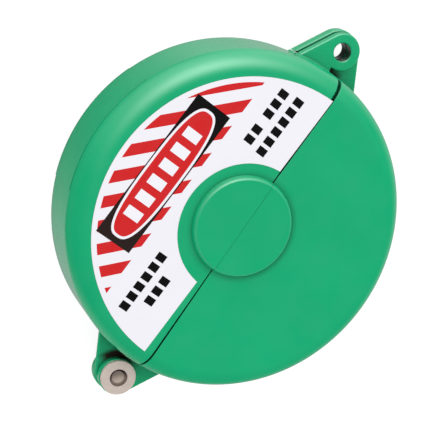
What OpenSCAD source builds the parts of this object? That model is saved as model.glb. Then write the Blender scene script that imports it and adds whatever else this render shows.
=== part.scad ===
// Gate-valve handwheel lockout: two plastic half shells on one rivet, lying on their back.
// +Z is the disc's axis, +X runs along the seam from the rivet to the padlock hole,
// and +Y is the labelled half's side. The origin is on the axis, in the plane of the back rim.

/* [Shell] */
// Outer radius of the closed disc
disc_r = 90; // [85:1:100]
// Depth from the back rim to the flat front face
depth = 42; // [40:1:55]
// Wall thickness of both mouldings
wall = 2.5; // [2:0.1:3]
// Radius of the rounded front edge
edge_r = 10.5; // [8:0.5:12]
// Gap between the two halves along the seam
seam_gap = 0.8; // [0.6:0.1:1.2]
// Width of the same gap at the padlock end, where it opens out
seam_gap_end = 2.3; // [1.2:0.1:2.5]
// Height of the shallow pad on the labelled half's side wall
pad_h = 0.3; // [0.2:0.1:0.5]
// Width of that pad
pad_w = 66; // [50:1:80]

/* [Openings] */
// Radius of the stem opening in the back plate
stem_r = 33; // [25:1:40]
// Height of the collar round the stem opening
stem_collar_h = 6; // [4:0.5:8]
// Radius of the knock-out plug on the front face
plug_r = 27; // [25:0.5:30]
// Height of the plug above the front face
plug_h = 3; // [2:0.5:4]
// Radius of the rounded edge of the plug
plug_edge_r = 1.2; // [0.5:0.1:2]
// Gap between the two halves of the plug
plug_gap = 0.2; // [0.2:0.1:0.6]

/* [Ears] */
// Distance from the disc's axis to the rivet, and to the padlock hole
ear_d = 103; // [102:1:106]
// Radius of the rounded end of the labelled half's ears, on top
ear_r = 10; // [10:0.1:11]
// Radius of the rounded end of the plain half's ears, below them
back_ear_r = 10.8; // [10:0.1:12]
// Thickness of a labelled half's ear
ear_t = 6; // [5:0.5:6]
// Thickness of a plain half's ear
back_ear_t = 6.5; // [5:0.5:7]
// Height of the plane where the two ears meet
ear_z = 15; // [14:1:18]
// Angle between an ear's straight flank and the seam
flank_angle = 29.5; // [28:0.5:32]
// The same angle on the plain half's side, where the webs are wider
wide_angle = 31; // [30:0.5:32]
// Distance from the padlock hole's centre to the wide web's flank
lock_flank = 12.4; // [12:0.1:13]
// Distance from the rivet's centre to the wide web's flank
hinge_flank = 14.4; // [12:0.1:14.6]
// Radius the labelled half's web at the hinge is tangent to
hinge_web_r = 11.1; // [10.5:0.1:11.5]
// Radius of the padlock hole
lock_r = 4.8; // [4:0.1:5]
// Height of the round boss the labelled half's ear has at the hinge
boss_h = 7.7; // [7:0.1:8]
// Drop from the top of that boss to the ear's web beside it
boss_step = 4.5; // [4:0.1:5]
// Radius of the fillet where an ear meets the side wall
root_r = 1.5; // [1:0.5:2]

/* [Rivet] */
// Radius of the rivet's shank
shank_r = 3; // [2.5:0.1:3.5]
// Radius of the collar and of the washer
collar_r = 9.5; // [9:0.1:10]
// Thickness of the collar
collar_t = 2; // [2:0.1:2.5]
// Radius of the recess in the collar
recess_r = 4.75; // [4.5:0.05:5]
// Depth of that recess
recess_h = 1.6; // [1.2:0.1:1.7]
// Thickness of the washer at the back
washer_t = 1; // [1:0.1:1.5]
// Radius of the rivet's factory head at the back
head_r = 6.5; // [6:0.1:7]
// Thickness of that head
head_t = 1.8; // [1.5:0.1:2]

/* [Label] */
// Radius of the label's outer edge
label_r = 79.8; // [78:0.1:80]
// Radius of the label's inner edge
label_in_r = 35.3; // [34:0.1:36]
// Thickness of the label
label_t = 0.3; // [0.2:0.05:0.4]
// How far the label was stuck on off centre, along and across the seam
label_shift = [-1.4, -2]; // [-2:0.1:0]
// How far the label was stuck on turned, in degrees
label_turn = -2.2; // [-2.5:0.1:0]

/* [Hidden] */

$fn = 180;
fine = 0.01;
big = 4 * disc_r;
ear_gap = 0.3;
// Radial clearance of the rivet: none to speak of in its own body, running in the other
tight = 0.02;
running = 0.08;
// The lip on the inner shell that closes the seam from inside
lip_t = 1.8;
lip_clear = 0.3;
lip_reach = 4;
lip_root = 8;
lip_in = wall + lip_clear;
// Where the seam gap starts to open out, and the slope of its edge
seam_bend_x = plug_r;
seam_slope = (seam_gap_end - seam_gap) / (disc_r - seam_bend_x);
spigot_r = plug_r - 3;
spigot_clear = 0.1;
plug_wall = 2;
lock_chamfer = 0.6;
// The front ears stand on ear_z and the back ears hang below it
front_z = ear_z + ear_gap / 2;
back_z = ear_z - ear_gap / 2 - back_ear_t;
front_top = front_z + ear_t;
boss_top = front_z + boss_h;
ear_root_r = disc_r - wall / 2;
hinge_x = -ear_d;
washer_gap = 0.1;
washer_top = back_z - washer_gap;
head_top = washer_top - washer_t;
peen_r = shank_r + 0.4;
peen_h = 0.7;
label_edge_y = 1.6;

green = [0.07, 0.62, 0.38];
metal = [0.74, 0.69, 0.66];
white = [0.94, 0.93, 0.97];

// ---- Shell profiles ----

// Half section of the closed disc, shrunk by inset on every side
module disc_section(inset) {
    r = disc_r - inset;
    top = depth - inset;
    round_r = edge_r - inset;
    translate([0, inset]) square([r - round_r, top - inset]);
    translate([0, inset]) square([r, top - round_r - inset]);
    translate([r - round_r, top - round_r]) circle(round_r);
}

module disc_solid(inset) {
    rotate_extrude() intersection() {
        disc_section(inset);
        square(big);
    }
}

// Back plate, side wall and front plate of both halves, with the stem opening's collar
module hollow_disc() {
    difference() {
        disc_solid(0);
        disc_solid(wall);
        translate([0, 0, -1]) cylinder(r = stem_r, h = wall + 2);
        translate([0, 0, depth - wall - 1]) cylinder(r = spigot_r + spigot_clear, h = wall + 2);
    }
    difference() {
        cylinder(r = stem_r + wall, h = stem_collar_h);
        translate([0, 0, -1]) cylinder(r = stem_r, h = stem_collar_h + 2);
    }
}

// Everything on the labelled side of the seam
module outer_side() {
    translate([-big / 2, 0, -1]) cube([big, big / 2, depth + plug_h + 2]);
}

// Everything on the other side, stopping short of the seam by its gap
module inner_side() {
    far = big / 2;
    translate([0, 0, -1]) linear_extrude(depth + plug_h + 2)
        polygon([[-far, -seam_gap], [seam_bend_x, -seam_gap],
                 [far, -seam_gap - seam_slope * (far - seam_bend_x)], [far, -far], [-far, -far]]);
}

// Lip that reaches under the labelled half along the front and both ends of the seam
module seam_lip() {
    difference() {
        union() {
            intersection() {
                disc_solid(wall - lip_clear);
                translate([-big / 2, -lip_root, stem_collar_h])
                    cube([big, lip_root - seam_gap_end - lip_clear, depth]);
            }
            intersection() {
                disc_solid(lip_in);
                translate([-big / 2, -lip_root, stem_collar_h])
                    cube([big, lip_root + lip_reach, depth]);
            }
        }
        disc_solid(lip_in + lip_t);
        cylinder(r = plug_r, h = depth + 1);
    }
}

// Shallow pad on the labelled half's side wall
module side_pad() {
    intersection() {
        difference() {
            cylinder(r = disc_r + pad_h, h = depth - edge_r);
            translate([0, 0, -1]) cylinder(r = disc_r - wall / 2, h = depth);
        }
        translate([-pad_w / 2, 0, -1]) cube([pad_w, big, depth]);
    }
}

// ---- Ears, drawn at the padlock end (+X); side is 1 for +Y and -1 for -Y ----

// Web from an ear's rounded end of radius r to the side wall, on one side of the seam
module ear_web(side, r) {
    tangent = [ear_d + r * sin(flank_angle), side * r * cos(flank_angle)];
    run = r / cos(flank_angle) + (ear_d - ear_root_r) * tan(flank_angle);
    drop = 2 * wall;
    polygon([[ear_root_r - drop, 0], [ear_d, 0], tangent, [ear_root_r, side * run],
             [ear_root_r - drop, side * (run + drop * tan(flank_angle))]]);
}

// The plain half's wider web: its flank passes the hole's centre at a distance greater than the
// rounded end's radius, and a short straight edge joins the flank's end to the rounded end
module wide_web(flank) {
    turn = wide_angle + acos(back_ear_r / flank);
    run = flank / cos(wide_angle) + (ear_d - ear_root_r) * tan(wide_angle);
    drop = 2 * wall;
    polygon([[ear_root_r - drop, 0], [ear_d, 0],
             [ear_d + back_ear_r * sin(turn), -back_ear_r * cos(turn)],
             [ear_d + flank * sin(wide_angle), -flank * cos(wide_angle)],
             [ear_root_r, -run], [ear_root_r - drop, -run - drop * tan(wide_angle)]]);
}

module ear_end(r) {
    translate([ear_d, 0]) circle(r);
}

// Outline of a labelled half's ear, with a web tangent to radius web_r
module front_ear(web_r) {
    ear_end(ear_r);
    difference() {
        ear_web(1, web_r);
        circle(ear_root_r);
    }
}

// Outline of a plain half's ear, joined to its side wall by a wide web
module back_ear(flank) {
    ear_end(back_ear_r);
    difference() {
        wide_web(flank);
        circle(ear_root_r);
    }
}

// The back ear's second web at the padlock end lies on the labelled side, so it is split along
// an arc about the rivet: the outer part swings with the plain half
module free_web() {
    difference() {
        ear_web(1, back_ear_r);
        translate([hinge_x, 0]) circle(disc_r + ear_d + ear_gap);
    }
}

// The inner part of that web stays on the labelled half's wall
module fixed_web() {
    intersection() {
        difference() {
            ear_web(1, back_ear_r);
            circle(ear_root_r);
        }
        translate([hinge_x, 0]) circle(disc_r + ear_d);
    }
}

// Fillet between the top, at height z, of a web tangent to radius r and the side wall
module root_fillet(z, r) {
    intersection() {
        rotate_extrude() difference() {
            translate([ear_root_r, z - fine]) square([disc_r - ear_root_r + root_r, root_r + fine]);
            translate([disc_r + root_r, z + root_r]) circle(root_r);
        }
        linear_extrude(depth) difference() {
            ear_web(1, r);
            circle(ear_root_r);
        }
    }
}

module at_hinge() {
    mirror([1, 0, 0]) children();
}

// Padlock hole, with its small chamfer at the front ear's top
module lock_hole() {
    translate([ear_d, 0, -1]) cylinder(r = lock_r, h = depth);
    translate([ear_d, 0, front_top - lock_chamfer])
        cylinder(r1 = lock_r, r2 = lock_r + 2 * lock_chamfer, h = 2 * lock_chamfer);
}

module rivet_hole(clearance) {
    translate([hinge_x, 0, -1]) cylinder(r = shank_r + clearance, h = depth);
}

// ---- Pieces ----

module outer_shell() {
    color(green) difference() {
        union() {
            intersection() {
                union() {
                    hollow_disc();
                    side_pad();
                }
                outer_side();
            }
            translate([0, 0, front_z]) linear_extrude(ear_t) front_ear(ear_r);
            root_fillet(front_top, ear_r);
            translate([0, 0, back_z]) linear_extrude(back_ear_t + ear_gap) fixed_web();
            at_hinge() {
                translate([0, 0, front_z]) linear_extrude(boss_h - boss_step) front_ear(hinge_web_r);
                translate([0, 0, front_z]) linear_extrude(boss_h) ear_end(ear_r);
                root_fillet(boss_top - boss_step, hinge_web_r);
            }
        }
        lock_hole();
        rivet_hole(tight);
    }
}

module inner_shell() {
    color(green) difference() {
        union() {
            intersection() {
                hollow_disc();
                inner_side();
            }
            seam_lip();
            translate([0, 0, back_z]) linear_extrude(back_ear_t) {
                back_ear(lock_flank);
                free_web();
            }
            at_hinge() translate([0, 0, back_z]) linear_extrude(back_ear_t) back_ear(hinge_flank);
        }
        lock_hole();
        rivet_hole(running);
    }
}

// The whole knock-out: a shallow cap on the front face, with a hollow spigot through the plate
module plug() {
    difference() {
        union() {
            translate([0, 0, depth]) rotate_extrude() {
                square([plug_r - plug_edge_r, plug_h]);
                square([plug_r, plug_h - plug_edge_r]);
                translate([plug_r - plug_edge_r, plug_h - plug_edge_r]) circle(plug_edge_r);
            }
            translate([0, 0, depth - wall]) cylinder(r = spigot_r, h = wall + fine);
        }
        translate([0, 0, depth - wall - 1])
            cylinder(r = spigot_r - plug_wall, h = wall + 1 + plug_h - plug_wall);
    }
}

module outer_plug() {
    color(green) intersection() {
        plug();
        outer_side();
    }
}

module inner_plug() {
    color(green) intersection() {
        plug();
        translate([-big / 2, -big / 2, 0])
            cube([big, big / 2 - plug_gap, depth + plug_h + 1]);
    }
}

// Factory head at the back, shank, and the domed end in the collar's recess
module hinge_rivet() {
    peen_z = boss_top + collar_t - recess_h;
    // Radius of a ball that rises peen_h over a circle of radius peen_r
    ball_r = (peen_r * peen_r + peen_h * peen_h) / (2 * peen_h);
    color(metal) translate([hinge_x, 0, 0]) {
        translate([0, 0, head_top - head_t]) cylinder(r = head_r, h = head_t);
        translate([0, 0, head_top - head_t]) cylinder(r = shank_r, h = peen_z + fine - head_top + head_t);
        intersection() {
            translate([0, 0, peen_z + peen_h - ball_r]) sphere(ball_r);
            translate([0, 0, peen_z]) cylinder(r = peen_r + 1, h = peen_h + 1);
        }
    }
}

module rivet_collar() {
    color(metal) translate([hinge_x, 0, boss_top]) difference() {
        cylinder(r = collar_r, h = collar_t);
        translate([0, 0, collar_t - recess_h]) cylinder(r = recess_r, h = recess_h + 1);
        translate([0, 0, -1]) cylinder(r = shank_r + tight, h = collar_t + 1);
    }
}

module rivet_washer() {
    color(metal) translate([hinge_x, 0, head_top]) difference() {
        cylinder(r = collar_r, h = washer_t);
        translate([0, 0, -1]) cylinder(r = shank_r + tight, h = washer_t + 2);
    }
}

// Half-ring sticker, put on a little off centre and turned, as a hand-applied label is
module label() {
    color(white) translate([0, 0, depth]) linear_extrude(label_t) intersection() {
        translate(label_shift) difference() {
            circle(label_r);
            circle(label_in_r);
        }
        translate([0, label_edge_y]) rotate(label_turn) translate([-big / 2, 0]) square([big, big / 2]);
    }
}

outer_shell();
inner_shell();
outer_plug();
inner_plug();
hinge_rivet();
rivet_collar();
rivet_washer();
label();
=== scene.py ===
"""Looks for the valve handwheel lockout: two hinged plastic half shells, plug, rivet and label.

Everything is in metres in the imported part's frame: +Z is the disc's axis, +X runs along the seam
from the rivet to the padlock hole, and +Y is the labelled half's side.
"""

import math

import bmesh
import bpy
from mathutils import Matrix, Vector


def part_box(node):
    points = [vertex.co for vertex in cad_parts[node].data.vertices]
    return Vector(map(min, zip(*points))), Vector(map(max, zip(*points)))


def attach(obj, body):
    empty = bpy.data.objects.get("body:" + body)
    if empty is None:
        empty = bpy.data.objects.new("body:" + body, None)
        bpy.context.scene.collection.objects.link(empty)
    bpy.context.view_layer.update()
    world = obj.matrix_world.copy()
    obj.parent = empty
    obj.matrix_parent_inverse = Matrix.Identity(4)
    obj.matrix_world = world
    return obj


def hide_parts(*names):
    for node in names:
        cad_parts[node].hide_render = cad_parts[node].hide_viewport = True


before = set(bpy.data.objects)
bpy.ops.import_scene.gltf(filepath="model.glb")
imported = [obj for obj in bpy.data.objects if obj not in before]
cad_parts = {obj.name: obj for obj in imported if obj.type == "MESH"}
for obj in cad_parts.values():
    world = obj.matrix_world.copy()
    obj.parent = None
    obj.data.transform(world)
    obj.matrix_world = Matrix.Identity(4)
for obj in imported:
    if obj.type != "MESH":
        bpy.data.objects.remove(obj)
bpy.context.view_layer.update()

MM = 0.001

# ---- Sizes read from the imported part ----

outer_low, outer_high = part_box("outer_shell")
inner_low, inner_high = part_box("inner_shell")
plug_low, plug_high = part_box("outer_plug")
collar_low, collar_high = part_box("rivet_collar")
washer_low, washer_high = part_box("rivet_washer")
rivet_low, rivet_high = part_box("hinge_rivet")

DISC_R = -inner_low.y
DEPTH = outer_high.z
PAD_H = outer_high.y - DISC_R
PLUG_R = plug_high.x
PLUG_TOP = plug_high.z
HINGE_X = (collar_low.x + collar_high.x) / 2
EAR_D = -HINGE_X
EAR_R = outer_high.x - EAR_D
BACK_EAR_R = inner_high.x - EAR_D
COLLAR_R = (collar_high.x - collar_low.x) / 2
COLLAR_LOW = collar_low.z
COLLAR_TOP = collar_high.z
WASHER_LOW = washer_low.z
WASHER_TOP = washer_high.z
HEAD_R = (rivet_high.x - rivet_low.x) / 2
HEAD_LOW = rivet_low.z
PEEN_TOP = rivet_high.z

# ---- Sizes kept as named values, the same as the part's own ----

WALL = 2.5 * MM
EDGE_R = 10.5 * MM
SEAM_GAP_END = 2.3 * MM
PAD_W = 66 * MM
STEM_R = 33 * MM
STEM_COLLAR_H = 6 * MM
SPIGOT_R = PLUG_R - 3 * MM
SPIGOT_CLEAR = 0.1 * MM
PLUG_GAP = 0.2 * MM
PLUG_WALL = 2 * MM
EAR_T = 6 * MM
BACK_EAR_T = 6.5 * MM
EAR_GAP = 0.3 * MM
BOSS_H = 7.7 * MM
BOSS_STEP = 4.5 * MM
FLANK = math.radians(29.5)
WIDE_FLANK = math.radians(31)
LOCK_FLANK = 12.4 * MM
HINGE_FLANK = 14.4 * MM
HINGE_WEB_R = 11.1 * MM
LOCK_R = 4.8 * MM
LOCK_CHAMFER = 0.6 * MM
ROOT_R = 1.5 * MM
SHANK_R = 3 * MM
SHANK_CLEAR = 0.08 * MM
RECESS_R = 4.75 * MM
RECESS_H = 1.6 * MM
RECESS_DEEP = 1.85 * MM
PEEN_R = SHANK_R + 0.4 * MM
LIP_T = 1.8 * MM
LIP_CLEAR = 0.3 * MM
LIP_REACH = 4 * MM
LIP_ROOT = 8 * MM
LIP_ROUND = 0.3 * MM
LABEL_R = 79.8 * MM
LABEL_IN_R = 35.3 * MM
LABEL_T = 0.2 * MM
LABEL_X = -1.4 * MM
LABEL_Y = -2 * MM
LABEL_TURN = math.radians(-2.2)
LABEL_EDGE = 3.65 * MM

FRONT_Z = COLLAR_LOW - BOSS_H
FRONT_TOP = FRONT_Z + EAR_T
BACK_TOP = FRONT_Z - EAR_GAP
BACK_Z = BACK_TOP - BACK_EAR_T
WEB_TOP = COLLAR_LOW - BOSS_STEP
ROOT_IN_R = DISC_R - WALL / 2

# ---- Small roundings, draft and gaps that a moulding has, finer than the part's own ----

SEAM_ROUND = 0.25 * MM
SEAM_GAP = 0.5 * MM
SEAM_GAP_HINGE = 1.1 * MM
PLUG_EDGE_R = 1.6 * MM
PLUG_DRAFT = 0.75 * MM
EAR_ROUND = 1.1 * MM
BACK_ROUND = 1.1 * MM
BOSS_ROUND = 0.6 * MM
JOIN_ROUND = 2.5 * MM
CORNER_ROUND = 3 * MM
RIM_ROUND = 0.9 * MM
SMALL_ROUND = 0.4 * MM
COLLAR_ROUND = 0.7 * MM
RING_ROUND = 0.2 * MM
RECESS_ROUND = 0.25 * MM
WASHER_ROUND = 0.3 * MM
CUT_ROUND = 0.06 * MM
NICK = 0.1 * MM

# ---- Mesh settings ----

TURN_STEP = math.radians(1.5)
SHARP_ANGLE = math.radians(35)
APART = 0.01 * MM  # keeps faces that are joined or laid on each other out of one plane
SET_BACK = 0.05 * MM  # keeps the ends of a joined piece just inside the piece that it joins


# ---- Outlines ----

def arc(cx, cy, radius, start, end, step=math.radians(6)):
    """Points along an arc, both ends included."""
    count = max(2, math.ceil(abs(end - start) / step))
    return [
        (cx + radius * math.cos(start + (end - start) * i / count),
         cy + radius * math.sin(start + (end - start) * i / count))
        for i in range(count + 1)
    ]


def rounded(corners, step=math.radians(15)):
    """Closed outline through (x, y, radius) corners, each rounded by its radius."""
    points = []
    for i, (x, y, radius) in enumerate(corners):
        here = Vector((x, y))
        before = (Vector(corners[i - 1][:2]) - here).normalized()
        after = (Vector(corners[(i + 1) % len(corners)][:2]) - here).normalized()
        half = before.angle(after) / 2
        if radius <= 0 or abs(half - math.pi / 2) < 1e-4:
            points.append((x, y))
            continue
        reach = radius / math.tan(half)
        centre = here + (before + after).normalized() * (radius / math.sin(half))
        a = here + before * reach - centre
        b = here + after * reach - centre
        turn = a.angle_signed(b)
        start = math.atan2(a.y, a.x)
        points += arc(centre.x, centre.y, radius, start, start - turn, step)
    return points


def inset(points, amount):
    """The closed outline moved inwards by amount, and at a sharp corner by up to twice that."""
    area = sum(
        points[i - 1][0] * points[i][1] - points[i][0] * points[i - 1][1]
        for i in range(len(points))
    )
    sign = 1 if area > 0 else -1
    moved = []
    for i, point in enumerate(points):
        here = Vector(point)
        before = (here - Vector(points[i - 1])).normalized()
        after = (Vector(points[(i + 1) % len(points)]) - here).normalized()
        normal_a = Vector((-before.y, before.x)) * sign
        normal_b = Vector((-after.y, after.x)) * sign
        middle = (normal_a + normal_b).normalized()
        moved.append(tuple(here + middle * amount / max(0.5, middle.dot(normal_a))))
    return moved


# ---- Meshes ----

def quarter_turn(steps):
    """Angles from 0 to a right angle, both included."""
    return [math.pi / 2 * i / steps for i in range(steps + 1)]


def new_object(name, mesh):
    piece = bpy.data.objects.new(name, mesh)
    bpy.context.scene.collection.objects.link(piece)
    return piece


def close_rings(name, rings, loop=False):
    """Closed mesh through rings of equal length, capped at both ends unless it loops."""
    bm = bmesh.new()
    rows = [[bm.verts.new(p) for p in ring] for ring in rings]
    count = len(rows[0])
    pairs = list(zip(rows, rows[1:]))
    if loop:
        pairs.append((rows[-1], rows[0]))
    for low, high in pairs:
        for i in range(count):
            j = (i + 1) % count
            bm.faces.new((low[i], low[j], high[j], high[i]))
    if not loop:
        bm.faces.new(rows[0])
        bm.faces.new(reversed(rows[-1]))
    bmesh.ops.recalc_face_normals(bm, faces=bm.faces)
    mesh = bpy.data.meshes.new(name)
    bm.to_mesh(mesh)
    bm.free()
    return new_object(name, mesh)


def prism(name, outline, low, high, low_r, high_r, mirror_x=False):
    """Upright solid on an outline, with its bottom edge rounded by low_r and its top by high_r."""
    flip = -1 if mirror_x else 1
    quarter = quarter_turn(4)
    rings = []
    for base, way, radius, turns in ((low, 1, low_r, quarter), (high, -1, high_r, quarter[::-1])):
        for t in turns:
            ring = inset(outline, radius * (1 - math.sin(t)))
            z = base + way * radius * (1 - math.cos(t))
            rings.append([(flip * x, y, z) for x, y in ring])
    return close_rings(name, rings)


def full_turn(step):
    """Evenly spaced angles all the way round, about step apart."""
    count = round(2 * math.pi / step)
    return [2 * math.pi * i / count for i in range(count)]


def revolve(name, profile, centre_x=0, step=math.radians(5)):
    """Solid with (r, z) points turned about the upright line at centre_x.
    The profile runs from one flat end to the other."""
    turns = full_turn(step)
    rings = [
        [(centre_x + r * math.cos(a), r * math.sin(a), z) for a in turns]
        for r, z in profile
    ]
    return close_rings(name, rings)


def ring_solid(name, profile, centre_x):
    """Ring with a closed (r, z) profile about the upright line at centre_x."""
    rings = [
        [(centre_x + r * math.cos(a), r * math.sin(a), z) for r, z in profile]
        for a in full_turn(math.radians(5))
    ]
    return close_rings(name, rings, loop=True)


def sweep(name, profile, start, end, side=1, round_r=0.0, step=TURN_STEP, mirror_x=False):
    """Closed (r, z) profile turned about the disc's axis from the start edge to the end edge.
    start and end give the angle of the edge at radius r, from +X towards side (1 or -1 along Y).
    round_r rounds the profile's edges at both ends."""
    flip = -1 if mirror_x else 1
    rings = []

    def add(ring, angle_of):
        rings.append([
            (flip * r * math.cos(angle_of(r)), side * r * math.sin(angle_of(r)), z)
            for r, z in ring
        ])

    quarter = quarter_turn(3) if round_r else [math.pi / 2]
    for t in quarter:
        along = round_r * (1 - math.cos(t))
        add(inset(profile, round_r * (1 - math.sin(t))), lambda r: start(r) + along / r)
    widest = max(r for r, z in profile)
    count = max(1, round((end(widest) - start(widest)) / step))
    for i in range(1, count):
        share = i / count
        add(profile, lambda r: (start(r) + round_r / r) * (1 - share) + (end(r) - round_r / r) * share)
    for t in reversed(quarter):
        along = round_r * (1 - math.cos(t))
        add(inset(profile, round_r * (1 - math.sin(t))), lambda r: end(r) - along / r)
    return close_rings(name, rings)


def combine(base, others, operation):
    """Joins others to base, or cuts them from it, and removes them."""
    for other in others:
        modifier = base.modifiers.new("combine", "BOOLEAN")
        modifier.operation = operation
        modifier.solver = "MANIFOLD"
        modifier.object = other
        bpy.context.view_layer.update()
        evaluated = base.evaluated_get(bpy.context.evaluated_depsgraph_get())
        mesh = bpy.data.meshes.new_from_object(evaluated)
        base.modifiers.clear()
        base.data = mesh
        bpy.data.objects.remove(other)
    base.data.name = base.name
    return base


def soften(piece):
    """Smooth shading, with sharp edges kept and large faces left flat."""
    piece.data.shade_smooth()
    piece.data.set_sharp_from_angle(angle=SHARP_ANGLE)
    weighted = piece.modifiers.new("weighted", "WEIGHTED_NORMAL")
    weighted.keep_sharp = True


# ---- Shell ----

def wall_profile():
    """Section through a half: front plate, side wall, back plate and the stem collar."""
    hole_r = SPIGOT_R + SPIGOT_CLEAR
    in_r = DISC_R - WALL
    collar_out = STEM_R + WALL
    return rounded([
        (hole_r, DEPTH, SMALL_ROUND),
        (DISC_R, DEPTH, EDGE_R),
        (DISC_R, 0, RIM_ROUND),
        (STEM_R, 0, SMALL_ROUND),
        (STEM_R, STEM_COLLAR_H, SMALL_ROUND),
        (collar_out, STEM_COLLAR_H, SMALL_ROUND),
        (collar_out, WALL, 2 * SMALL_ROUND),
        (in_r, WALL, 3 * SMALL_ROUND),
        (in_r, DEPTH - WALL, EDGE_R - WALL),
        (hole_r, DEPTH - WALL, SMALL_ROUND),
    ], math.radians(6))


def seam_edge(r, end_gap):
    """Distance of the plain half's edge from the seam plane at radius r, end_gap at the rim."""
    slope = (end_gap - SEAM_GAP) / (DISC_R - PLUG_R)
    return SEAM_GAP + slope * max(0, r - PLUG_R)


def half_wall(name, side):
    if side > 0:
        return sweep(name, wall_profile(), lambda r: 0, lambda r: math.pi, side, SEAM_ROUND)
    return sweep(
        name, wall_profile(),
        lambda r: math.asin(seam_edge(r, SEAM_GAP_END) / r),
        lambda r: math.pi - math.asin(seam_edge(r, SEAM_GAP_HINGE) / r),
        side, SEAM_ROUND,
    )


def side_pad():
    """Shallow pad on the labelled half's side wall."""
    root_r = DISC_R - WALL / 2
    pad_r = DISC_R + PAD_H
    top = DEPTH - EDGE_R
    profile = rounded([
        (root_r, APART, 0),
        (pad_r, APART, RIM_ROUND),
        (pad_r, top, 0.4 * PAD_H),
        (root_r, top, 0),
    ], math.radians(20))

    def edge(r):
        return math.acos(PAD_W / 2 / r)

    return sweep("pad", profile, edge, lambda r: math.pi - edge(r))


def flank_turn(r, flank, angle):
    """Angle at which an ear's straight flank crosses radius r."""
    return math.asin((EAR_D * math.sin(angle) + flank) / r) - angle


def ear_outline(end_r, flank, angle, start=math.pi):
    """Ear at the padlock end with its web on +Y, as its root along the wall and the rest.
    flank is the straight flank's distance from the hole's centre; start is where the rounded
    end begins."""
    root = arc(0, 0, ROOT_IN_R, flank_turn(ROOT_IN_R, flank, angle), 0, math.radians(2))
    lean = math.acos(min(1, end_r / flank))
    end = arc(EAR_D, 0, end_r, start, 5 * math.pi / 2 - angle - lean, math.radians(4))
    if lean:
        foot = (EAR_D + flank * math.sin(angle), flank * math.cos(angle))
        along = (foot[0] - end_r * math.cos(angle), foot[1] + end_r * math.sin(angle))
        corner = rounded([(*end[-1], 0), (*foot, CORNER_ROUND), (*along, 0)], math.radians(4))
        end += corner[1:-1]
    return root, end


def front_ear(flank):
    root, end = ear_outline(EAR_R, flank, FLANK)
    return root + end


def swing_arc(radius):
    """Arc about the rivet at the padlock end, from the seam to the back ear's free flank."""
    reach = math.asin((EAR_D * 2 * math.sin(FLANK) + BACK_EAR_R) / radius) - FLANK
    return arc(HINGE_X, 0, radius, 0, reach, math.radians(1))


def fixed_web():
    """The labelled half's own part of the back ear's web, inside the arc the free web swings on."""
    root = arc(0, 0, ROOT_IN_R, flank_turn(ROOT_IN_R, BACK_EAR_R, FLANK), 0, math.radians(2))
    return root + swing_arc(DISC_R + EAR_D)[1:]


def back_ear(flank, free):
    """Back ear with its wide web on -Y, and a free web on +Y if free is set."""
    start = 3 * math.pi / 2 + FLANK if free else math.pi
    root, end = ear_outline(BACK_EAR_R, flank, WIDE_FLANK, start)
    cut = [(x, -y) for x, y in swing_arc(DISC_R + EAR_D + EAR_GAP)] if free else []
    return [(x, -y) for x, y in root + cut + end]


def root_fillet(name, z, web_r, mirror_x):
    """Fillet between an ear's top at height z and the side wall."""
    skin = WALL / 2
    tangent = math.radians(6)
    curve = arc(
        DISC_R + ROOT_R, z + ROOT_R, ROOT_R, 3 * math.pi / 2 - tangent, math.pi + tangent,
        math.radians(12),
    )
    foot = [(DISC_R - skin, z - skin), (curve[0][0], z - skin)]
    head = [(DISC_R - skin, curve[-1][1])]
    return sweep(
        name, foot + curve + head,
        lambda r: SET_BACK / r, lambda r: flank_turn(r, web_r, FLANK) - SET_BACK / r,
        1, 0, math.radians(1), mirror_x,
    )


def rivet_hole(radius):
    return revolve("rivet", [(radius, 0), (radius, DEPTH)], HINGE_X)


def lock_hole():
    """Padlock hole, with its chamfers at the ears' faces."""
    profile = [
        (LOCK_R, 0),
        (LOCK_R, BACK_TOP - LOCK_CHAMFER),
        (LOCK_R + LOCK_CHAMFER, BACK_TOP),
        (LOCK_R + LOCK_CHAMFER, FRONT_Z + LOCK_CHAMFER),
        (LOCK_R, FRONT_Z + 2 * LOCK_CHAMFER),
        (LOCK_R, FRONT_TOP - LOCK_CHAMFER),
        (LOCK_R + 2 * LOCK_CHAMFER, FRONT_TOP + LOCK_CHAMFER),
    ]
    return revolve("lock", profile, EAR_D, math.radians(4))


def labelled_shell():
    shell = half_wall("outer_shell_moulding", 1)
    boss = [(EAR_D + EAR_R * math.cos(a), EAR_R * math.sin(a)) for a in full_turn(math.radians(4))]
    combine(shell, [
        side_pad(),
        prism("ear", front_ear(EAR_R), FRONT_Z, FRONT_TOP, JOIN_ROUND, EAR_ROUND),
        prism("web", front_ear(HINGE_WEB_R), FRONT_Z, WEB_TOP, EAR_ROUND, EAR_ROUND, True),
        prism("boss", boss, FRONT_Z + APART, COLLAR_LOW, EAR_ROUND, BOSS_ROUND, True),
        prism("gusset", fixed_web(), BACK_Z, FRONT_Z + EAR_ROUND, EAR_ROUND, EAR_ROUND),
        root_fillet("fillet", FRONT_TOP, EAR_R, False),
        root_fillet("fillet", WEB_TOP, HINGE_WEB_R, True),
    ], "UNION")
    return combine(shell, [lock_hole(), rivet_hole(SHANK_R)], "DIFFERENCE")


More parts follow.
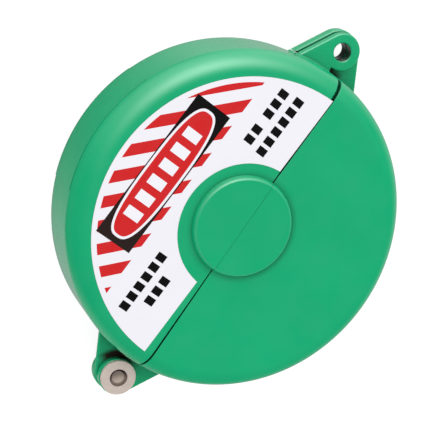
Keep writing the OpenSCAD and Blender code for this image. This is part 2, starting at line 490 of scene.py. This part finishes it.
def seam_lip(mirror_x):
    """Lip inside one end of the seam, on the plain half, with the root that holds it."""
    inner = WALL + LIP_CLEAR

    def band(low_inset, high_inset):
        """Section along the shell's inside, between two depths below its outer face."""
        return rounded([
            (PLUG_R, DEPTH - low_inset, 0),
            (DISC_R - low_inset, DEPTH - low_inset, EDGE_R - low_inset),
            (DISC_R - low_inset, STEM_COLLAR_H, 0),
            (DISC_R - high_inset, STEM_COLLAR_H, 0),
            (DISC_R - high_inset, DEPTH - high_inset, EDGE_R - high_inset),
            (PLUG_R, DEPTH - high_inset, 0),
        ], math.radians(9))

    root_end = SEAM_GAP_END + LIP_CLEAR
    lip = sweep(
        "lip", band(inner, inner + LIP_T),
        lambda r: -math.asin(LIP_REACH / r), lambda r: math.asin(LIP_ROOT / r),
        -1, LIP_ROUND, math.radians(2), mirror_x,
    )
    root = sweep(
        "root", band(WALL - LIP_CLEAR, inner + LIP_T / 2),
        lambda r: math.asin(root_end / r), lambda r: math.asin(LIP_ROOT / r) - SET_BACK / r,
        -1, 0, math.radians(2), mirror_x,
    )
    return combine(lip, [root], "UNION")


def plain_shell():
    shell = half_wall("inner_shell_moulding", -1)
    combine(shell, [
        prism("ear", back_ear(LOCK_FLANK, True), BACK_Z, BACK_TOP, EAR_ROUND, BACK_ROUND),
        prism("ear", back_ear(HINGE_FLANK, False), BACK_Z, BACK_TOP, EAR_ROUND, BACK_ROUND, True),
        seam_lip(False),
        seam_lip(True),
    ], "UNION")
    return combine(shell, [lock_hole(), rivet_hole(SHANK_R + SHANK_CLEAR)], "DIFFERENCE")


# ---- Plug ----

def plug_half(name, side):
    """Half of the knock-out: a cap with a rounded edge, and a hollow spigot below it."""
    edge_r = PLUG_R - PLUG_DRAFT - PLUG_EDGE_R
    edge_z = PLUG_TOP - PLUG_EDGE_R
    draft_turn = math.radians(14)
    edge = arc(edge_r, edge_z, PLUG_EDGE_R, math.pi / 2, draft_turn, math.radians(11))
    foot = 1.5 * NICK
    hollow_r = SPIGOT_R - PLUG_WALL
    below = [
        (PLUG_R, DEPTH + foot),
        (PLUG_R - foot, DEPTH),
        (SPIGOT_R, DEPTH),
        (SPIGOT_R, DEPTH - WALL),
        (hollow_r, DEPTH - WALL),
        (hollow_r, PLUG_TOP - PLUG_WALL),
    ]
    plug = revolve(name, edge + below, 0, math.radians(2))
    bm = bmesh.new()
    bm.from_mesh(plug.data)
    cut_y = 0 if side > 0 else -PLUG_GAP / 2
    cut = bmesh.ops.bisect_plane(
        bm, geom=bm.verts[:] + bm.edges[:] + bm.faces[:], dist=1e-7,
        plane_co=(0, cut_y, 0), plane_no=(0, -side, 0), clear_outer=True,
    )
    edges = [e for e in cut["geom_cut"] if isinstance(e, bmesh.types.BMEdge)]
    made = bmesh.ops.edgeloop_fill(bm, edges=edges)
    bmesh.ops.recalc_face_normals(bm, faces=bm.faces)
    seen = [e for e in made["faces"][0].edges if min(v.co.z for v in e.verts) > DEPTH]
    bmesh.ops.bevel(bm, geom=seen, offset=CUT_ROUND, segments=2, profile=0.5, affect="EDGES")
    bm.to_mesh(plug.data)
    bm.free()
    return plug


# ---- Rivet ----

def rivet_body():
    """Factory head at the back, shank, and the upset end in the collar's recess."""
    peen_low = COLLAR_TOP - RECESS_H
    rise = PEEN_TOP - peen_low
    ball = (PEEN_R ** 2 + rise ** 2) / (2 * rise)
    half = math.asin(PEEN_R / ball)
    crown = 0.02  # radians left flat at the top of the dome, where the profile ends
    upright = math.pi / 2
    dome = arc(0, PEEN_TOP - ball, ball, upright - half, upright - crown, math.radians(3))
    edge = 2 * SMALL_ROUND
    head = arc(HEAD_R - edge, HEAD_LOW + edge, edge, -upright, 0, math.radians(20))
    shank = [
        (HEAD_R, WASHER_LOW - NICK),
        (HEAD_R - NICK, WASHER_LOW),
        (SHANK_R, WASHER_LOW),
        (SHANK_R, peen_low),
        (PEEN_R - NICK, peen_low),
    ]
    return revolve("hinge_rivet_body", head + shank + dome, HINGE_X)


def collar_ring():
    """Turned collar in front of the hinge, with the recess that the rivet's end is upset in."""
    floor = COLLAR_TOP - RECESS_DEEP
    profile = rounded([
        (SHANK_R, COLLAR_LOW, 0),
        (COLLAR_R, COLLAR_LOW, RING_ROUND),
        (COLLAR_R, COLLAR_TOP, COLLAR_ROUND),
        (RECESS_R, COLLAR_TOP, RECESS_ROUND),
        (RECESS_R, floor, RING_ROUND),
        (SHANK_R, floor, 0),
    ])
    return ring_solid("rivet_collar_ring", profile, HINGE_X)


def washer_ring():
    profile = rounded([
        (SHANK_R, WASHER_LOW, 0),
        (COLLAR_R, WASHER_LOW, WASHER_ROUND),
        (COLLAR_R, WASHER_TOP, RING_ROUND),
        (SHANK_R, WASHER_TOP, 0),
    ])
    return ring_solid("rivet_washer_ring", profile, HINGE_X)


# ---- Label ----

def face_height(x, y):
    """Height of the shells' front face at x, y, with the rounded front edge."""
    over = math.hypot(x, y) - (DISC_R - EDGE_R)
    if over <= 0:
        return DEPTH
    return DEPTH - EDGE_R + math.sqrt(EDGE_R ** 2 - over ** 2)


def label_sheet():
    """Half-ring sticker, a little off centre and turned, pressed down over the rounded edge."""
    steps = 16
    width = (LABEL_R - LABEL_IN_R) / steps
    radii = [LABEL_IN_R + width * i for i in range(steps + 1)]
    edge = 0.07 * MM
    top = [(r, LABEL_T) for r in radii]
    top[0] = (LABEL_IN_R + edge, LABEL_T)
    top[-1] = (LABEL_R - edge, LABEL_T)
    profile = [(LABEL_IN_R, LABEL_T - edge)] + top + [(LABEL_R, LABEL_T - edge)]
    profile += [(r, APART) for r in reversed(radii)]

    def start(r):
        return math.asin(LABEL_EDGE / r)

    sheet = sweep("label_sheet", profile, start, lambda r: math.pi - start(r))
    place = Matrix.Translation((LABEL_X, LABEL_Y, 0)) @ Matrix.Rotation(LABEL_TURN, 4, "Z")
    for vertex in sheet.data.vertices:
        x, y, _ = place @ Vector((vertex.co.x, vertex.co.y, 0))
        vertex.co = (x, y, face_height(x, y) + vertex.co.z)
    return sheet


# ---- Colours, in linear light ----

GREEN = (0.003, 0.435, 0.184)
GREEN_LIGHT = (0.004, 0.455, 0.194)
GREEN_DARK = (0.002, 0.415, 0.174)
# Painted highlight along the plug's top edge.
GREEN_EDGE_HIGHLIGHT = (0.22, 0.78, 0.50)
GREEN_SHADED = (0.004, 0.14, 0.06)
# Painted shade in corners.
GREEN_CORNER_SHADE = (0.006, 0.09, 0.045)
# Painted shade in deep pockets.
GREEN_POCKET_SHADE = (0.008, 0.030, 0.019)
# Painted shadow in the pockets beside the ears, and painted shade in the padlock hole.
PAINTED_SHADOW = (0.016, 0.011, 0.008)

METAL_LIGHT = (0.78, 0.665, 0.60)
METAL_DARK = (0.66, 0.555, 0.50)
# Painted shade in the metal's crevices.
METAL_CREVICE_SHADE = (0.02, 0.016, 0.014)
# Lit and shadowed colours of the recess and the rivet's end, for painted shadow.
RECESS_LIT = (0.36, 0.28, 0.235)
RECESS_SHADOWED = (0.03, 0.021, 0.018)
PEEN_LIT = (0.66, 0.54, 0.46)
PEEN_SHADOWED = (0.26, 0.20, 0.17)

PRINT_WHITE = (0.86, 0.85, 0.90)
PRINT_WHITE_DULL = (0.83, 0.82, 0.88)
PRINT_RED = (0.64, 0.012, 0.014)
PRINT_BLACK = (0.006, 0.0055, 0.006)
PRINT_BLACK_FADED = (0.026, 0.015, 0.013)

FLOOR_BRIGHT = (0.94, 0.94, 0.94)
FLOOR_DULL = (0.90, 0.90, 0.90)
FLOOR_SEEN = (0.28, 0.28, 0.28)
FLOOR_SHINE = 0.84


# ---- Material building ----

class Amount:
    """A number inside a material's nodes; arithmetic on it adds the maths nodes."""

    def __init__(self, tree, socket):
        self.tree = tree
        self.socket = socket

    def maths(self, operation, *values):
        node = self.tree.nodes.new("ShaderNodeMath")
        node.operation = operation
        for slot, value in zip(node.inputs, (self,) + values):
            if isinstance(value, Amount):
                self.tree.links.new(value.socket, slot)
            else:
                slot.default_value = value
        return Amount(self.tree, node.outputs[0])

    def __add__(self, other):
        return self.maths("ADD", other)

    def __sub__(self, other):
        return self.maths("SUBTRACT", other)

    def __mul__(self, other):
        return self.maths("MULTIPLY", other)

    def size(self):
        return self.maths("ABSOLUTE")

    def below(self, other):
        return self.maths("LESS_THAN", other)

    def above(self, other):
        return self.maths("GREATER_THAN", other)

    def both(self, other):
        return self.maths("MINIMUM", other)

    def either(self, other):
        return self.maths("MAXIMUM", other)

    def wrapped(self, period):
        """The remainder after whole periods, from 0 to period."""
        return self.maths("FLOORED_MODULO", period)

    def power(self, exponent):
        return self.maths("POWER", exponent)


def distance(x, y):
    """Length of the vector x, y."""
    return (x * x + y * y).maths("SQRT")


class Finish:
    """A material with a Principled shader and helpers for adding nodes to it."""

    def __init__(self, name):
        self.material = bpy.data.materials.new(name)
        self.material.use_nodes = True
        self.tree = self.material.node_tree
        self.shader = self.tree.nodes["Principled BSDF"]

    def node(self, kind, **settings):
        made = self.tree.nodes.new("ShaderNode" + kind)
        for key, value in settings.items():
            setattr(made, key, value)
        return made

    def link(self, source, target):
        self.tree.links.new(source.socket if isinstance(source, Amount) else source, target)

    def place(self):
        """The point being shaded, in metres in the part's frame."""
        return self.node("TexCoord").outputs["Object"]

    def coordinates(self):
        """The point being shaded, as three amounts."""
        parts = self.node("SeparateXYZ")
        self.link(self.place(), parts.inputs[0])
        return [Amount(self.tree, output) for output in parts.outputs]

    def noise(self, size, detail=2.0, roughness=0.5):
        """Noise whose bumps are about size metres across."""
        made = self.node("TexNoise")
        made.inputs["Scale"].default_value = 1 / size
        made.inputs["Detail"].default_value = detail
        made.inputs["Roughness"].default_value = roughness
        self.link(self.place(), made.inputs["Vector"])
        return Amount(self.tree, made.outputs[0])

    def ranged(self, amount, low, high, start=0.0, end=1.0):
        """Goes from low to high while amount goes from start to end, and stays there beyond."""
        made = self.node("MapRange")
        made.inputs["From Min"].default_value = start
        made.inputs["From Max"].default_value = end
        made.inputs["To Min"].default_value = low
        made.inputs["To Max"].default_value = high
        self.link(amount, made.inputs["Value"])
        return Amount(self.tree, made.outputs["Result"])

    def mix(self, amount, first, second):
        """Colour between first and second."""
        made = self.node("Mix", data_type="RGBA")
        self.link(amount, made.inputs[0])
        for slot, value in ((made.inputs[6], first), (made.inputs[7], second)):
            if isinstance(value, tuple):
                slot.default_value = value + (1.0,)
            else:
                self.link(value, slot)
        return made.outputs[2]

    def crevice(self, reach, deep=0.2, open_air=0.72, alone=False):
        """1 deep in a corner or a gap narrower than reach, 0 on open faces.
        deep and open_air are the shares of open sky at those two ends. With alone, only the
        piece itself counts, not its neighbours or the floor."""
        made = self.node("AmbientOcclusion", samples=8, only_local=alone)
        made.inputs["Distance"].default_value = reach
        return self.ranged(made.outputs["AO"], 1.0, 0.0, deep, open_air)

    def bump(self, height, depth, strength, normal=None):
        """Normal of a surface that height raises by up to depth, on top of an earlier normal."""
        made = self.node("Bump")
        made.inputs["Strength"].default_value = strength
        made.inputs["Distance"].default_value = depth
        self.link(height, made.inputs["Height"])
        if normal:
            self.link(normal, made.inputs["Normal"])
        return made.outputs["Normal"]

    def set(self, name, value):
        slot = self.shader.inputs[name]
        if isinstance(value, (Amount, bpy.types.NodeSocket)):
            self.link(value, slot)
        elif isinstance(value, tuple):
            slot.default_value = value + (1.0,)
        else:
            slot.default_value = value


def hinge_shadow(finish, x, y):
    """1 where painted shadow lies beside the hinge's boss, towards the disc and the labelled half."""
    hinge_x = x - HINGE_X
    away = distance(hinge_x, y)
    inward = (hinge_x * 0.82 + y * 0.57).maths("DIVIDE", away)
    near = finish.ranged(away, 1.0, 0.0, 12.4 * MM, 15 * MM)
    return finish.ranged(inward, 0.0, 1.0, 0.70, 0.90).both(near)


def lock_shadow(finish, x, y):
    """1 where painted shadow lies on the back ear beside the wall, in the pocket under the front ear
    at the padlock end.
    """
    rim = distance(x, y)
    wall = DISC_R - 0.4 * MM
    foot = finish.ranged(rim, 1.0, 0.0, DISC_R + ROOT_R, DISC_R + 5 * MM).both(rim.above(wall))
    under = finish.ranged(y, 0.0, 1.0, -11 * MM, -7 * MM).both(y.below(1 * MM))
    return foot.both(under).both(x.above(0.0))


def shell_shadows(finish, x, y, z):
    """Share of painted shadow in the two dark pockets beside the ears, and of painted shade in the
    padlock hole.
    """
    pockets = hinge_shadow(finish, x, y).either(lock_shadow(finish, x, y))
    low = z.below(WEB_TOP + EAR_GAP / 2)
    # Painted shade inside the padlock hole.
    bore = distance(x - EAR_D, y).below(LOCK_R + NICK)
    return pockets.both(low).either(bore * 0.85)


def plug_shade(finish, rim, y, z):
    """Share of shade on the front face close to the plug, more of it on the plain half."""
    close = finish.ranged(rim, 1.0, 0.0, PLUG_R, PLUG_R + 3.5 * MM).both(rim.above(PLUG_R))
    return close.both(z.above(DEPTH - 1 * MM)) * finish.ranged(y, 0.55, 0.15, -PLUG_R, PLUG_R)


def plug_highlight(finish, rim, z):
    """Share of painted highlight, a paler ring along the plug's top edge."""
    off_edge = (rim - (PLUG_R - 1.3 * MM)).size()
    edge_light = finish.ranged(off_edge, 0.14, 0.0, 0.2 * MM, 0.9 * MM)
    return edge_light * z.above(PLUG_TOP - PLUG_EDGE_R)


def moulded_plastic(name):
    """Satin moulded polypropylene: faint flow clouds, fine texture and slightly uneven gloss, with
    painted shade where it is sheltered, beside the plug, in corners, in pockets and in the padlock
    hole, painted shadow beside the ears, and a painted highlight along the plug's top edge."""
    finish = Finish(name)
    x, y, z = finish.coordinates()
    rim = distance(x, y)
    clouds = finish.ranged(finish.noise(28 * MM, 3.0), 0.0, 1.0, 0.35, 0.65)
    grain = finish.noise(0.55 * MM, 2.0, 0.6)
    ripple = finish.noise(9 * MM, 1.0)
    # Painted shade where the piece shelters itself, more of it on the low webs.
    sheltered = finish.crevice(26 * MM, 0.3, 0.85, True)
    lowest = FRONT_Z + 0.35 * MM
    highest = FRONT_TOP - 0.15 * MM
    sheltered = sheltered * finish.ranged(z, 0.7, 0.1, lowest, highest)
    # Painted shade in corners, from ambient occlusion.
    corner = finish.crevice(5 * MM, 0.25, 0.82)
    # Painted shade in deep pockets, from ambient occlusion.
    pocket = finish.crevice(16 * MM, 0.12, 0.42)
    # Painted shadow beside the ears and painted shade in the padlock hole, in near-black brown.
    shadow_share = shell_shadows(finish, x, y, z)
    tone = finish.mix(clouds, GREEN_DARK, GREEN_LIGHT)
    tone = finish.mix(finish.ranged(grain, 0.3, 0.7), tone, GREEN)
    # Painted highlight: a paler ring along the plug's top edge.
    tone = finish.mix(plug_highlight(finish, rim, z), tone, GREEN_EDGE_HIGHLIGHT)
    tone = finish.mix(sheltered.either(plug_shade(finish, rim, y, z)), tone, GREEN_SHADED)
    tone = finish.mix(corner, tone, GREEN_CORNER_SHADE)
    tone = finish.mix(pocket, tone, GREEN_POCKET_SHADE)
    finish.set("Base Color", finish.mix(shadow_share, tone, PAINTED_SHADOW))
    # Less reflection where the painted shade and painted shadow lie.
    finish.set("Specular IOR Level", corner.either(pocket).either(shadow_share) * -0.46 + 0.5)
    finish.set("Roughness", finish.ranged(finish.noise(14 * MM, 4.0), 0.14, 0.2, 0.3, 0.7))
    finish.set("IOR", 2.0)
    swell = finish.bump(ripple, 0.05 * MM, 0.35)
    finish.set("Normal", finish.bump(grain, 0.012 * MM, 0.6, swell))
    return finish.material


def satin_metal(name):
    """Tumbled aluminium: fine circles round the rivet, small dents, painted shade in its crevices,
    and a dull recess with painted shadow on its +X, +Y side."""
    finish = Finish(name)
    x, y, _ = finish.coordinates()
    x = x - HINGE_X
    radius = distance(x, y)
    circle_pitch = 0.9 * MM
    circles = (radius * (2 * math.pi / circle_pitch)).maths("SINE")
    dents = finish.noise(1.3 * MM, 3.0, 0.6)
    bare = finish.mix(finish.noise(4 * MM, 3.0), METAL_DARK, METAL_LIGHT)
    # Painted shadow: 1 on the lit -X, -Y side of the recess, 0 on its shadowed +X, +Y side.
    lit_share = finish.ranged(x + y, 1.0, 0.0, -3.2 * MM, 2.4 * MM)
    recess = finish.mix(lit_share, RECESS_SHADOWED, RECESS_LIT)
    peen = finish.mix(lit_share, PEEN_SHADOWED, PEEN_LIT)
    dull = finish.mix(radius.below(PEEN_R), recess, peen)
    tone = finish.mix(radius.above(RECESS_R), dull, bare)
    # Painted shade in the metal's crevices, from ambient occlusion.
    finish.set("Base Color", finish.mix(finish.crevice(1.2 * MM), tone, METAL_CREVICE_SHADE))
    finish.set("Metallic", 0.2)
    finish.set("Roughness", finish.ranged(dents, 0.42, 0.6, 0.3, 0.7))
    turned = finish.bump(circles, 0.01 * MM, 0.4)
    finish.set("Normal", finish.bump(dents, 0.03 * MM, 0.4, turned))
    return finish.material


class Print:
    """Where the printing on the label is, as shapes that are 1 inside and 0 outside. They are
    placed by u along the label's straight edge and v away from it, from its half ring's centre."""

    def __init__(self, finish):
        x, y, _ = finish.coordinates()
        x = x - LABEL_X
        y = y - LABEL_Y
        self.u = x * math.cos(LABEL_TURN) + y * math.sin(LABEL_TURN)
        self.v = y * math.cos(LABEL_TURN) - x * math.sin(LABEL_TURN)
        self.radius = distance(self.u, self.v)

    def from_middle(self, middle_u, middle_v):
        """Distances along u and v from a shape's middle."""
        return (self.u - middle_u).size(), (self.v - middle_v).size()

    def block(self, middle_u, middle_v, width, height):
        across, up = self.from_middle(middle_u, middle_v)
        return across.below(width / 2).both(up.below(height / 2))

    def oval(self, middle_u, middle_v, width, height):
        """Full oval, between an ellipse and a block."""
        fullness = 2.8
        across, up = self.from_middle(middle_u, middle_v)
        across = (across * (2 / width)).power(fullness)
        up = (up * (2 / height)).power(fullness)
        return (across + up).below(1.0)

    def row(self, middle_u, middle_v, count, pitch, width, height):
        """A row of plain blocks, standing where a word would be printed."""
        start = self.u - middle_u + count * pitch / 2
        inside = (start.wrapped(pitch) - pitch / 2).size().below(width / 2)
        return inside.both(self.block(middle_u, middle_v, count * pitch, height))

    def stripes(self):
        """Slanted hazard stripes on the label's outer part, with a white border outside them."""
        pitch = 16.75 * MM
        phase = 95.66 * MM
        lowest = 40 * MM
        outermost = 77 * MM
        slant = (self.u + self.v - phase).wrapped(pitch)
        area = self.v.above(lowest).both(self.radius.below(outermost))
        return slant.above(pitch / 2).both(area)

    def small_rows(self):
        """The rows of small blocks near both ends of the label."""
        pitch = 6.1 * MM
        width = 4.2 * MM
        height = 5.4 * MM
        hinge_end = [(-50.7, 27.8, 6), (-50.6, 18.4, 3)]
        padlock_end = [(41.9, 28.0, 2), (60.8, 28.0, 3), (52.9, 18.6, 6)]
        rows = None
        for middle_u, middle_v, count in hinge_end + padlock_end:
            row = self.row(middle_u * MM, middle_v * MM, count, pitch, width, height)
            rows = rows.either(row) if rows else row
        return rows


def printed_film(name):
    """White vinyl label with slanted hazard stripes and plain panels, and no lettering."""
    finish = Finish(name)
    label = Print(finish)
    middle_u = -0.8 * MM
    middle_v = 54 * MM
    panel = label.block(middle_u, 53.98 * MM, 84.2 * MM, 21.3 * MM)
    ring = label.oval(middle_u, middle_v, 77.6 * MM, 20 * MM)
    oval = label.oval(middle_u, middle_v, 74.8 * MM, 17.4 * MM)
    title = label.row(-1.2 * MM, middle_v, 6, 9.7 * MM, 5.6 * MM, 9.4 * MM)
    faded = finish.ranged(label.u, 1.0, 0.0, -40 * MM, 40 * MM)
    colour = finish.mix(finish.noise(20 * MM, 2.0), PRINT_WHITE, PRINT_WHITE_DULL)
    colour = finish.mix(label.stripes(), colour, PRINT_RED)
    colour = finish.mix(panel, colour, finish.mix(faded, PRINT_BLACK, PRINT_BLACK_FADED))
    colour = finish.mix(ring, colour, PRINT_WHITE)
    colour = finish.mix(oval, colour, PRINT_RED)
    colour = finish.mix(title, colour, PRINT_WHITE)
    colour = finish.mix(label.small_rows(), colour, PRINT_BLACK)
    finish.set("Base Color", colour)
    finish.set("Roughness", finish.ranged(finish.noise(6 * MM, 3.0), 0.2, 0.28, 0.3, 0.7))
    finish.set("Normal", finish.bump(finish.noise(12 * MM, 2.0), 0.04 * MM, 0.4))
    return finish.material


def pale_floor(name):
    """Pale matt floor. Where the camera sees it directly it shines nearly white, and its own
    colour is darker, so that only soft shadows show."""
    finish = Finish(name)
    seen = Amount(finish.tree, finish.node("LightPath").outputs["Is Camera Ray"])
    tone = finish.mix(finish.noise(400 * MM, 2.0), FLOOR_DULL, FLOOR_BRIGHT)
    finish.set("Base Color", finish.mix(seen, tone, FLOOR_SEEN))
    finish.set("Roughness", 1.0)
    finish.set("Specular IOR Level", 0.0)
    finish.set("Emission Color", (1.0, 1.0, 1.0))
    finish.set("Emission Strength", seen * FLOOR_SHINE)
    return finish.material


# ---- Stage ----

FLOOR_SIZE = 6.0
FLOOR_DROP = 0.05 * MM

CAMERA_TURN = math.radians(172.81)
CAMERA_LIFT = math.radians(65.11)
CAMERA_ROLL = math.radians(131.48)
CAMERA_AWAY = 785.4 * MM
CAMERA_AIM = Vector((-4.7 * MM, 2.95 * MM, 21 * MM))
CAMERA_LENS = 123.5

KEY_WAY = Vector((0.74, 0.58, 0.32))
KEY_AWAY = 1.2
KEY_SIZE = 0.35
KEY_POWER = 1.9
LAMP_WAY = Vector((0.60, 0.36, 0.715)).normalized()


def add_floor():
    """Large square floor, a hair below the part's back."""
    mesh = bpy.data.meshes.new("floor")
    half = FLOOR_SIZE / 2
    corners = [(-half, -half, 0), (half, -half, 0), (half, half, 0), (-half, half, 0)]
    mesh.from_pydata(corners, [], [(0, 1, 2, 3)])
    floor = new_object("floor", mesh)
    floor.location.z = -FLOOR_DROP
    mesh.materials.append(pale_floor("floor_matte"))
    floor.visible_glossy = False


def camera_axes():
    """Right, up and back directions of the camera."""
    back = Vector((
        math.sin(CAMERA_TURN) * math.cos(CAMERA_LIFT),
        -math.cos(CAMERA_TURN) * math.cos(CAMERA_LIFT),
        math.sin(CAMERA_LIFT),
    ))
    level = Vector((0, 0, 1)).cross(back).normalized()
    rise = back.cross(level)
    right = level * math.cos(CAMERA_ROLL) + rise * math.sin(CAMERA_ROLL)
    return right, back.cross(right), back


def add_camera():
    right, up, back = camera_axes()
    data = bpy.data.cameras.new("camera")
    data.sensor_width = 36
    data.lens = CAMERA_LENS
    camera = bpy.data.objects.new("camera", data)
    bpy.context.scene.collection.objects.link(camera)
    turn = Matrix((right, up, back)).transposed().to_4x4()
    camera.matrix_world = Matrix.Translation(CAMERA_AIM + back * CAMERA_AWAY) @ turn
    bpy.context.scene.camera = camera


def add_key_light():
    """Square area light facing the part's middle, hidden from reflections."""
    data = bpy.data.lights.new("key", "AREA")
    data.size = KEY_SIZE
    data.energy = KEY_POWER
    light = bpy.data.objects.new("key", data)
    bpy.context.scene.collection.objects.link(light)
    way = KEY_WAY.normalized()
    light.location = CAMERA_AIM + way * KEY_AWAY
    light.rotation_mode = "QUATERNION"
    light.rotation_quaternion = way.to_track_quat("Z", "Y")
    light.visible_glossy = False


def studio_world():
    """Soft room: nearly even for matt light, white to the camera, and for reflections a soft
    lamp with a wide glow on a dark room with a paler low surround."""
    world = bpy.data.worlds.new("studio")
    world.use_nodes = True
    tree = world.node_tree
    parts = tree.nodes.new("ShaderNodeSeparateXYZ")
    tree.links.new(tree.nodes.new("ShaderNodeTexCoord").outputs["Generated"], parts.inputs[0])
    x, y, z = (Amount(tree, output) for output in parts.outputs)

    def toward(way, sharpness):
        """Greatest towards a way and 0 behind it, fading faster for a greater sharpness."""
        return (x * way[0] + y * way[1] + z * way[2]).either(0.0).power(sharpness)

    lamp = toward(LAMP_WAY, 8.0) * 2.3
    glow = toward((0.8, 0.55, 0.1), 2.5) * 1.1
    below = (z * -1.5 + 0.4).either(0.0).both(1.0)
    plain_side = (y * -2.6 + 1.0).either(0.1).both(1.0)
    dark_corner = toward((-0.68, -0.7, -0.1), 6.0)
    surround = below * plain_side * (dark_corner * -0.9 + 1.0) * 0.44
    reflected = lamp + glow + surround + 0.02

    path = tree.nodes.new("ShaderNodeLightPath")
    glossy = Amount(tree, path.outputs["Is Glossy Ray"])
    seen = Amount(tree, path.outputs["Is Camera Ray"])
    dim_side = toward((-0.72, 0.69, 0.0), 2.0)
    matt = (x * 0.13 + 1.11 - dim_side * 0.35).either(seen)
    strength = reflected * glossy + matt * (glossy * -1.0 + 1.0)
    background = tree.nodes["Background"]
    tree.links.new(strength.socket, background.inputs["Strength"])
    background.inputs["Color"].default_value = (1.0, 1.0, 1.0, 1.0)
    world.cycles.sampling_method = "NONE"
    bpy.context.scene.world = world


# ---- Put together ----

def finish_piece(piece, material, node, body):
    """Gives a piece its material and smooth shading, hides the CAD node that it stands for, and
    attaches it to its body.
    """
    piece.data.materials.clear()
    piece.data.materials.append(material)
    soften(piece)
    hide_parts(node)
    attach(piece, body)


green = moulded_plastic("green_plastic")
plug_green = moulded_plastic("plug_plastic")
metal = satin_metal("rivet_metal")
film = printed_film("label_film")

finish_piece(labelled_shell(), green, "outer_shell", "labelled_half")
finish_piece(plain_shell(), green, "inner_shell", "swing_half")
finish_piece(plug_half("outer_plug_half", 1), plug_green, "outer_plug", "labelled_half")
finish_piece(plug_half("inner_plug_half", -1), plug_green, "inner_plug", "swing_half")
finish_piece(rivet_body(), metal, "hinge_rivet", "labelled_half")
finish_piece(collar_ring(), metal, "rivet_collar", "labelled_half")
finish_piece(washer_ring(), metal, "rivet_washer", "labelled_half")
finish_piece(label_sheet(), film, "label", "labelled_half")

add_floor()
add_camera()
add_key_light()
studio_world()
bpy.context.scene.view_settings.view_transform = "Standard"
